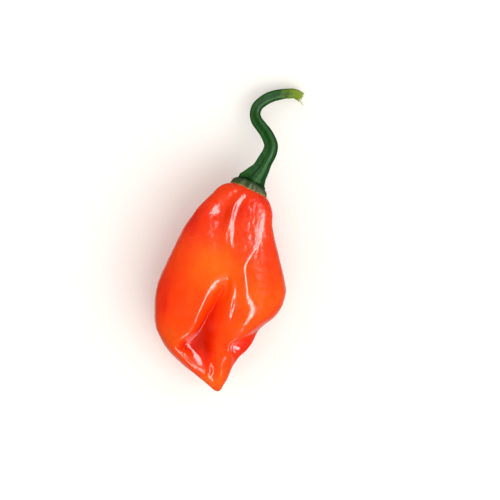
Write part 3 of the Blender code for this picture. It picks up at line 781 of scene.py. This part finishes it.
def fine_calyx(latitude, angle):
    """The collar: its outside thins out onto the pod's skin, and its inside lies just under it."""
    outside = latitude > math.pi / 2
    share = np.where(outside, math.pi - latitude, latitude) / (math.pi / 2)
    ragged = CALYX_RAGGED * np.sin(CALYX_RAGS * angle + 2 * np.sin(5 * angle))
    at = math.pi - np.maximum(share * (calyx_reach(angle) + ragged), LEAST_REACH)
    skin = pod_skin(at, angle)
    middle = np.array([math.pi]), np.array([0.0])
    below = pod_skin(*middle) - skin
    brim = smooth_step(*CALYX_CROWN_RADIUS, np.linalg.norm(below, axis=1))
    crown = CALYX_CROWN + SEAM + below @ outward(*middle)[0]
    thickness = crown + (CALYX_THICKNESS + SEAM - crown) * brim
    thickness = thickness * (1 - smooth_step(CALYX_THINS, 1.0, share))
    veins = np.cos(CALYX_VEINS * angle + 0.8 * np.sin(3 * angle)) / 2
    raised = smooth_step(*CALYX_VEINS_START, share) * (1 - smooth_step(*CALYX_VEINS_END, share))
    thickness = thickness + CALYX_VEIN_HEIGHT * veins * raised
    offset = np.where(outside, thickness + CALYX_FILM, -CALYX_FILM)
    return skin + offset[:, None] * outward(at, angle)


def fine_stem(latitude, angle):
    """The stem with ridges and lumps, its foot's wavy rim and its torn end."""
    skin = stem_skin(latitude, angle)
    middle = (skin + stem_skin(latitude, angle + math.pi)) / 2
    ridges = STEM_RIDGE_DEPTH * np.cos(STEM_RIDGES * angle + 3 * np.sin(2 * latitude))
    lumps = relief_at(skin / (1, STEM_LUMP_STRETCH, 1), *STEM_LUMPS)
    body = smooth_step(*RIDGES_START, latitude)
    moved = middle + (skin - middle) * (1 + (ridges + lumps) * body)[:, None]

    foot = 1 - smooth_step(*FOOT_FACE, latitude)
    rim_middle, rim_reach = FOOT_RIM
    rim = bowl((latitude - rim_middle) / rim_reach)
    wave = FOOT_WAVE * (np.sin(3 * angle + 1) + np.sin(7 * angle) / 2)
    foot_axis = unit(STEM_LINE[1, :3] - STEM_LINE[0, :3])
    moved = moved + (wave * rim - FOOT_SUNK * foot)[:, None] * foot_axis

    torn = smooth_step(*TORN_START, latitude)
    ragged = relief_at(np.column_stack([np.cos(angle), np.sin(angle), 0 * angle]), *TORN_EDGE)
    hollow = TORN_HOLLOW * (1 - np.clip((math.pi - latitude) / STEM_END, 0, 1))
    end_axis = unit(STEM_LINE[-1, :3] - STEM_LINE[-2, :3])
    return moved + (torn * (ragged - hollow))[:, None] * end_axis


def fibre_piece(name):
    """The torn fibres at the stem's cut end, each a tapered tube rooted inside the stem."""
    bm = bmesh.new()
    end, radius = STEM_LINE[-1, :3], STEM_LINE[-1, 3]
    along = unit(end - STEM_LINE[-2, :3])
    side = unit(np.cross(along, (0, 0, 1)))
    above = np.cross(side, along)
    for turn, length, bend in FIBRES:
        a = math.radians(turn)
        out = math.cos(a) * side + math.sin(a) * above
        round_way = np.cross(along, out)
        rings = []
        for t in np.linspace(0, 1, FIBRE_RINGS):
            place = end + out * radius * (FIBRE_PLACE + FIBRE_SPREAD * t * t)
            place = place + along * (t * length - FIBRE_SUNK) * MM + round_way * bend * t * t * MM
            thick = FIBRE_RADIUS * (1 - FIBRE_TAPER * t)
            ring = []
            for b in np.linspace(0, math.tau, FIBRE_SIDES, endpoint=False):
                spoke = math.cos(b) * out + FIBRE_FLATNESS * math.sin(b) * round_way
                ring.append(bm.verts.new(place + thick * spoke))
            rings.append(ring)
        for low, high in zip(rings[:-1], rings[1:]):
            for j in range(FIBRE_SIDES):
                k = (j + 1) % FIBRE_SIDES
                bm.faces.new((low[j], low[k], high[k], high[j]))
        bm.faces.new(rings[0][::-1])
        bm.faces.new(rings[-1])
    bmesh.ops.recalc_face_normals(bm, faces=bm.faces)
    return object_from(bm, name)


def store(obj, name, values):
    """Keeps one number per mesh point, for the materials to read."""
    layer = obj.data.attributes.new(name, "FLOAT", "POINT")
    layer.data.foreach_set("value", np.asarray(values, np.float32))


def points_of(obj):
    """The places of a mesh's points."""
    co = np.zeros(len(obj.data.vertices) * 3)
    obj.data.vertices.foreach_get("co", co)
    return co.reshape(-1, 3)


def set_range(node, *numbers):
    """Sets a map range node: from low, from high, to low, to high."""
    for key, number in zip(("From Min", "From Max", "To Min", "To Max"), numbers):
        node.inputs[key].default_value = number


class Nodes:
    """Short ways to add shader nodes to one material."""

    def __init__(self, name):
        self.material = bpy.data.materials.new(name)
        self.material.use_nodes = True
        self.tree = self.material.node_tree
        self.shader = self.tree.nodes["Principled BSDF"]

    def add(self, kind, **settings):
        node = self.tree.nodes.new(kind)
        for key, value in settings.items():
            setattr(node, key, value)
        return node

    def link(self, source, target):
        self.tree.links.new(source, target)

    def attribute(self, name):
        return self.add("ShaderNodeAttribute", attribute_name=name).outputs["Fac"]

    def noise(self, scale, detail, roughness=0.5, stretch=(1, 1, 1)):
        """Noise over the object, with features about 1/scale metres wide."""
        node = self.add("ShaderNodeTexNoise")
        node.inputs["Scale"].default_value = scale
        node.inputs["Detail"].default_value = detail
        node.inputs["Roughness"].default_value = roughness
        mapping = self.add("ShaderNodeMapping")
        mapping.inputs["Scale"].default_value = stretch
        self.link(self.add("ShaderNodeTexCoord").outputs["Object"], mapping.inputs["Vector"])
        self.link(mapping.outputs["Vector"], node.inputs["Vector"])
        return node.outputs["Fac"]

    def fit(self, value, low, high, to_low=0.0, to_high=1.0):
        node = self.add("ShaderNodeMapRange")
        self.link(value, node.inputs["Value"])
        set_range(node, low, high, to_low, to_high)
        return node.outputs["Result"]

    def mottle(self, noise_value, amount):
        """Noise spread out to between minus and plus that amount."""
        return self.fit(noise_value, 0.3, 0.7, -amount, amount)

    def math(self, operation, first, second):
        node = self.add("ShaderNodeMath", operation=operation)
        for socket, value in zip(node.inputs, (first, second)):
            if isinstance(value, (int, float)):
                socket.default_value = value
            else:
                self.link(value, socket)
        return node.outputs["Value"]

    def ramp(self, value, stops):
        node = self.add("ShaderNodeValToRGB")
        ramp = node.color_ramp
        while len(ramp.elements) < len(stops):
            ramp.elements.new(0.5)
        for element, (position, colour) in zip(ramp.elements, stops):
            element.position = position
            element.color = (*colour, 1)
        self.link(value, node.inputs["Fac"])
        return node.outputs["Color"]

    def mix(self, share, colour, other):
        """A colour blended towards another, fixed one."""
        node = self.add("ShaderNodeMix", data_type="RGBA")
        factor, first, second = [s for s in node.inputs if s.enabled]
        self.link(share, factor)
        self.link(colour, first)
        second.default_value = (*other, 1)
        return [s for s in node.outputs if s.enabled][0]

    def bump(self, height, distance, below=None):
        node = self.add("ShaderNodeBump")
        node.inputs["Strength"].default_value = 1.0
        node.inputs["Distance"].default_value = distance
        self.link(height, node.inputs["Height"])
        if below:
            self.link(below, node.inputs["Normal"])
        return node.outputs["Normal"]

    def set(self, **values):
        for key, value in values.items():
            self.shader.inputs[key.replace("_", " ")].default_value = value

    def drive(self, socket, value):
        self.link(value, self.shader.inputs[socket])


# The pod's skin, from the deepest red, which the painted shade pulls it towards, to the palest
# orange
POD_COLOURS = [
    (0.0, (0.50, 0.012, 0.0006)),
    (0.2, (0.74, 0.016, 0.0006)),
    (0.36, (0.84, 0.036, 0.0006)),
    (0.64, (0.86, 0.060, 0.0008)),
    (1.0, (0.87, 0.118, 0.0020)),
]
POD_CLOUDS = 0.09  # how much riper or paler its faint clouds are
POD_STREAKS = 0.06  # and its lengthwise streaks
FOLD_PAINTED_SHADE = 0.45  # painted shade: how much redder the skin is made deep in the folds
POD_ROUGHNESS = (0.12, 0.23)
NECK_ROUGHER = 0.05
PIT_DEPTH = 0.02 * MM
SWELL_DEPTH = 0.05 * MM
PEBBLE_DEPTH = 0.09 * MM  # on the neck alone


def pod_material():
    """Waxy orange skin: riper and paler stretches, painted shade that reddens the folds and the left
    flank, faint streaks and fine pits.
    """
    m = Nodes("pod_skin")
    neck = m.attribute("neck")
    cloud = m.mottle(m.noise(160, 3), POD_CLOUDS)
    streak = m.mottle(m.noise(420, 4, stretch=(1, 0.16, 1)), POD_STREAKS)
    pale = m.math("ADD", m.attribute("ripeness_and_shade"), m.math("ADD", cloud, streak))
    # painted shade: the skin is made redder down in the valley and on the back of the tip
    pale = m.math("SUBTRACT", pale, m.math("MULTIPLY", m.attribute("fold"), FOLD_PAINTED_SHADE))
    m.drive("Base Color", m.ramp(pale, POD_COLOURS))
    roughness = m.fit(m.noise(900, 3), 0.35, 0.65, *POD_ROUGHNESS)
    m.drive("Roughness", m.math("ADD", roughness, m.math("MULTIPLY", neck, NECK_ROUGHER)))
    pits = m.bump(m.noise(1500, 3, 0.6), PIT_DEPTH)
    swells = m.bump(m.noise(520, 2, stretch=(1, 0.5, 1)), SWELL_DEPTH, below=pits)
    pebbles = m.math("MULTIPLY", neck, m.noise(1300, 2, stretch=(1, 0.6, 1)))
    m.drive("Normal", m.bump(pebbles, PEBBLE_DEPTH, below=swells))
    m.set(Subsurface_Weight=0.12, Subsurface_Scale=1.2 * MM, Subsurface_Radius=(1.0, 0.25, 0.05))
    m.set(Specular_IOR_Level=0.38)
    return m.material


# The collar, from its middle to its edge
CALYX_COLOURS = [
    (0.0, (0.010, 0.036, 0.005)),
    (0.72, (0.022, 0.056, 0.007)),
    (0.91, (0.060, 0.080, 0.010)),
    (1.0, (0.32, 0.18, 0.030)),
]
CALYX_MOTTLE = 0.07
CALYX_ROUGHNESS = (0.48, 0.66)
CALYX_GRAIN = 0.04 * MM


def calyx_material():
    """Olive green collar, darker under the foot, tan along its edge."""
    m = Nodes("calyx")
    mottle = m.mottle(m.noise(900, 4, 0.6), CALYX_MOTTLE)
    m.drive("Base Color", m.ramp(m.math("ADD", m.attribute("edge"), mottle), CALYX_COLOURS))
    m.drive("Roughness", m.fit(m.noise(1200, 2), 0.3, 0.7, *CALYX_ROUGHNESS))
    m.drive("Normal", m.bump(m.noise(2200, 4, 0.6), CALYX_GRAIN))
    m.set(Specular_IOR_Level=0.25)
    return m.material


# The stem, from its grooves to its ribs
STEM_COLOURS = [
    (0.1, (0.005, 0.042, 0.005)),
    (0.5, (0.010, 0.070, 0.009)),
    (0.9, (0.024, 0.110, 0.020)),
]
STEM_STREAKS = 0.25
STEM_SCARS = (0.58, 0.72)  # the brownish scars come up between these values of their noise
SCAR_COLOUR = (0.050, 0.045, 0.012)
SCAR_STRENGTH = 0.55
TIP_COLOUR = (0.24, 0.34, 0.012)
TIP_START = (0.77, 0.90)  # it turns yellow-green between these shares of its length
TIP_STREAKS = 0.12  # how unevenly it turns, as a share of the streaks
STEM_ROUGHNESS = (0.40, 0.56)
STEM_GRAIN = 0.035 * MM


def stem_material():
    """Dark waxy green with paler ridges and brownish scars, yellow-green towards the cut end."""
    m = Nodes("stem")
    streak = m.mottle(m.noise(1400, 4, 0.6, (1, 0.35, 1)), STEM_STREAKS)
    green = m.ramp(m.math("ADD", m.attribute("ridge"), streak), STEM_COLOURS)
    scars = m.fit(m.noise(330, 4, 0.65), *STEM_SCARS)
    green = m.mix(m.math("MULTIPLY", scars, SCAR_STRENGTH), green, SCAR_COLOUR)
    along = m.math("ADD", m.attribute("along"), m.math("MULTIPLY", streak, TIP_STREAKS))
    m.drive("Base Color", m.mix(m.fit(along, *TIP_START), green, TIP_COLOUR))
    m.drive("Roughness", m.fit(m.noise(1500, 3), 0.3, 0.7, *STEM_ROUGHNESS))
    m.drive("Normal", m.bump(m.noise(2400, 4, 0.6, (1, 0.4, 1)), STEM_GRAIN))
    m.set(Specular_IOR_Level=0.09, Subsurface_Weight=0.05, Subsurface_Scale=0.8 * MM)
    return m.material


FIBRE_COLOURS = [(0.35, (0.42, 0.44, 0.20)), (0.65, (0.72, 0.70, 0.52))]
FLOOR_COLOURS = [(0.4, (0.87, 0.84, 0.785)), (0.6, (0.88, 0.85, 0.795))]


def fibre_material():
    """Pale dry fibres."""
    m = Nodes("fibres")
    m.drive("Base Color", m.ramp(m.noise(2500, 3), FIBRE_COLOURS))
    m.set(Roughness=0.6)
    return m.material


def floor_material():
    """A matt white surface, a little warm."""
    m = Nodes("floor")
    m.drive("Base Color", m.ramp(m.noise(30, 2), FLOOR_COLOURS))
    m.set(Roughness=0.75, Specular_IOR_Level=0.2)
    return m.material


MIDDLE_RIPENESS = 0.5  # where no row of RIPENESS_AND_SHADE reaches
FULL_SHADE_DEPTH = 3.5 * MM  # the painted shade in the valley is full from this depth on
BACK_PAINTED_SHADE = 0.8  # how much painted shade the back of the tip gets, beside the valley's 1
FOLD_SHADE_RISE = (2 * MM, 5 * MM)  # the painted shade is only above: it starts between these heights


def ripeness_and_shade_at(points):
    """How pale the skin is, from 0, deep red, to 1, pale orange, with painted shade making the left
    flank redder.
    """
    pale = np.full(len(points), MIDDLE_RIPENESS)
    for x, y, reach, amount in RIPENESS_AND_SHADE:
        away = np.hypot(points[:, 0] - x * MM, points[:, 1] - y * MM) / (reach * MM)
        pale += amount * np.exp(-away * away)
    return pale


def fold_shade_at(points):
    """How much painted shade a place gets, from 0 to 1, by how far it lies down in the valley or on
    the back lobe.
    """
    plan = points[:, :2]
    back, _ = back_lobe(plan)
    above = smooth_step(*FOLD_SHADE_RISE, points[:, 2])
    return np.clip(valley_drop(plan) / FULL_SHADE_DEPTH + BACK_PAINTED_SHADE * back, 0, 1) * above


def ridge_at(latitude, angle):
    """How far out on a rib each place of the stem lies, from 0.2 in a groove to 0.8 on a rib."""
    return 0.5 + 0.3 * np.cos(STEM_RIBS * angle + STEM_RIB_TWIST * latitude / math.pi)


def dress(piece, finish, slot, *nodes):
    """Gives a piece its material and its body, and hides the solids that it stands for; slot is not
    used.
    """
    piece.data.materials.append(finish)
    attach(piece, "root")
    if nodes:
        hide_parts(*nodes)


def area_light(name, towards, distance, size, long_way, power, colour):
    """A rectangular lamp that shines on the pod from a direction, its length along long_way."""
    light = bpy.data.lights.new(name, "AREA")
    light.shape = "RECTANGLE"
    light.size, light.size_y = size
    light.energy = power
    light.color = colour
    lamp = bpy.data.objects.new(name, light)
    bpy.context.scene.collection.objects.link(lamp)
    back = Vector(towards).normalized()
    across = Vector(long_way).cross(back).normalized()
    turn = Matrix((across, back.cross(across), back)).transposed()
    place = back * distance + Vector((0, 0, MIDDLE_HEIGHT))
    lamp.matrix_world = Matrix.Translation(place) @ turn.to_4x4()
    return lamp


# The camera looks straight down, turned so that the stem leans a little to the left of up
CAMERA_OVER = (4.94 * MM, 8.53 * MM)
CAMERA_HEIGHT = 0.55
PICTURE_UP = (-0.1495, 0.9888)  # the way up in the picture, on the surface
SENSOR_WIDTH = 36
SEEN_WIDTH = 0.110  # the width of the picture at the pod's middle height
MIDDLE_HEIGHT = 12 * MM


def make_camera():
    """A camera straight above the pod's middle, just wide enough for the picture."""
    camera = bpy.data.objects.new("camera", bpy.data.cameras.new("camera"))
    bpy.context.scene.collection.objects.link(camera)
    camera.location = (*CAMERA_OVER, CAMERA_HEIGHT)
    camera.rotation_euler = (0, 0, math.atan2(-PICTURE_UP[0], PICTURE_UP[1]))
    camera.data.sensor_width = SENSOR_WIDTH
    camera.data.lens = SENSOR_WIDTH * (CAMERA_HEIGHT - MIDDLE_HEIGHT) / SEEN_WIDTH
    camera.data.clip_start = 0.01
    bpy.context.scene.camera = camera


FLOOR_SIZE = 3
WORLD_LIGHT = 1.0
WORLD_GLOSS = 0.05  # what shiny surfaces see of the dim room
EDGE_GLOSS = 0.5  # what the edges of the outline see of the bright table
EDGE_LOOKS = (-0.88, -0.98)  # they see it between these slopes downwards

# The lamps: the way to each from the pod and how far off it is, its width and length, the way its
# length runs, its power and its colour
WINDOW = {
    "towards": (0.68, 0.26, 0.68),
    "distance": 0.45,
    "size": (0.24, 0.74),
    "long_way": (-0.11, 0.955, -0.27),
    "power": 10.0,
    "colour": (1, 0.97, 1),
}
CARD = {
    "towards": (0.46, -0.85, 0.25),
    "distance": 0.45,
    "size": (0.3, 0.2),
    "long_way": (0.88, 0.46, 0),
    "power": 1.8,
    "colour": (1, 0.97, 1),
}
SOFT = {
    "towards": (0.42, -0.32, 0.85),
    "distance": 0.5,
    "size": (0.4, 0.4),
    "long_way": (0, 1, 0),
    "power": 1.3,
    "colour": (1, 1, 1),
}


def make_floor():
    """The surface that the pepper lies on, which its skin doesn't mirror."""
    bpy.ops.mesh.primitive_plane_add(size=FLOOR_SIZE, location=(0, 0, 0))
    floor = bpy.context.object
    floor.name = "floor"
    floor.data.materials.append(floor_material())
    floor.visible_glossy = False


def make_world():
    """Even white light, which the skin mirrors dimly, but brightly along the outline's edges."""
    world = bpy.data.worlds.new("studio")
    world.use_nodes = True
    tree = world.node_tree
    background = tree.nodes["Background"]
    background.inputs["Color"].default_value = (1, 1, 1, 1)
    coordinates = tree.nodes.new("ShaderNodeTexCoord")
    way = tree.nodes.new("ShaderNodeSeparateXYZ")
    gloss = tree.nodes.new("ShaderNodeMapRange")
    set_range(gloss, *EDGE_LOOKS, WORLD_GLOSS, EDGE_GLOSS)
    ray = tree.nodes.new("ShaderNodeLightPath")
    strength = tree.nodes.new("ShaderNodeMapRange")
    strength.inputs["To Min"].default_value = WORLD_LIGHT
    tree.links.new(coordinates.outputs["Generated"], way.inputs["Vector"])
    tree.links.new(way.outputs["Z"], gloss.inputs["Value"])
    tree.links.new(gloss.outputs["Result"], strength.inputs["To Max"])
    tree.links.new(ray.outputs["Is Glossy Ray"], strength.inputs["Value"])
    tree.links.new(strength.outputs["Result"], background.inputs["Strength"])
    bpy.context.scene.world = world


def make_lamps():
    """The window and the card make the skin's highlights, and the soft lamp makes its shadow."""
    area_light("window", **WINDOW).visible_diffuse = False
    area_light("card", **CARD).visible_diffuse = False
    area_light("soft", **SOFT).visible_glossy = False


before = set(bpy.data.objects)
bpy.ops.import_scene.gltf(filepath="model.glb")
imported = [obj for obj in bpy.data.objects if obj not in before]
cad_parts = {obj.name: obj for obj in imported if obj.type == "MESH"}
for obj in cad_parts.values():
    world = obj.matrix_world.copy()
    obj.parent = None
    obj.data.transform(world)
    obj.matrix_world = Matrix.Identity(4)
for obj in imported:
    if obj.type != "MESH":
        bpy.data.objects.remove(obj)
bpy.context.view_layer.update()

grain = 1
segments, rings = int(POD_SEGMENTS * grain), int(POD_RINGS * grain)
pod, _, _ = sphere_piece("habanero_pod", segments, rings, crowded_skin)
wrinkle(pod)
# skin tone, with painted shade on the left flank
store(pod, "ripeness_and_shade", ripeness_and_shade_at(points_of(pod)))
# painted shade for the valley and the back of the tip
store(pod, "fold", fold_shade_at(points_of(pod)))
store(pod, "neck", smooth_step(*NECK_WAXY, points_of(pod)[:, 1]))
dress(pod, pod_material(), "pod_skin", "pod")

calyx, latitude, angle = sphere_piece("habanero_calyx", CALYX_SEGMENTS, CALYX_RINGS, fine_calyx)
store(calyx, "edge", np.clip((math.pi - latitude) / (math.pi / 2), 0, 1))
dress(calyx, calyx_material(), "calyx", "calyx")

stem, latitude, angle = sphere_piece("habanero_stem", STEM_SEGMENTS, STEM_RINGS, fine_stem)
store(stem, "along", latitude / math.pi)
store(stem, "ridge", ridge_at(latitude, angle))
dress(stem, stem_material(), "stem", "stem")

dress(fibre_piece("stem_fibres"), fibre_material(), "stem")

make_floor()
make_world()
make_lamps()
make_camera()
bpy.context.scene.view_settings.view_transform = "Standard"
